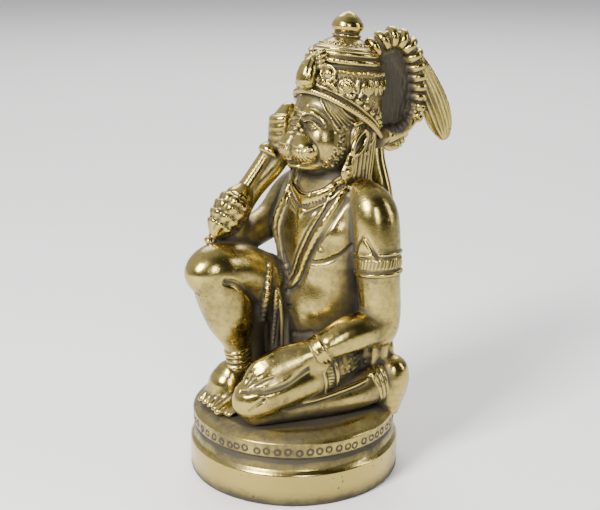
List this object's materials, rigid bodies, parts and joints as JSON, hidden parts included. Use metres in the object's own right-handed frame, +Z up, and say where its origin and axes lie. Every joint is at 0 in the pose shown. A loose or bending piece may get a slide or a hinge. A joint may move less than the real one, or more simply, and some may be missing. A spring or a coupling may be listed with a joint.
{
  "type": "hanuman figure",
  "caption": "Cast brass figure of a kneeling monkey-faced deity in a domed crown, with mace and raised looping tail, made in one with its round moulded plinth.",
  "frame": {"origin": "middle of the plinth's round underside, on the surface it stands on", "axes": "+Z up; -Y the way the figure faces; +X the figure's left side"},
  "size_m": [0.0536, 0.0703, 0.1144],
  "materials": {
    "cast_brass": "hand-polished cast brass, warm yellow, with dark brown patina left in the hollows"
  },
  "bodies": {
    "root": {"figure_with_plinth": "cast_brass"}
  },
  "joints": []
}
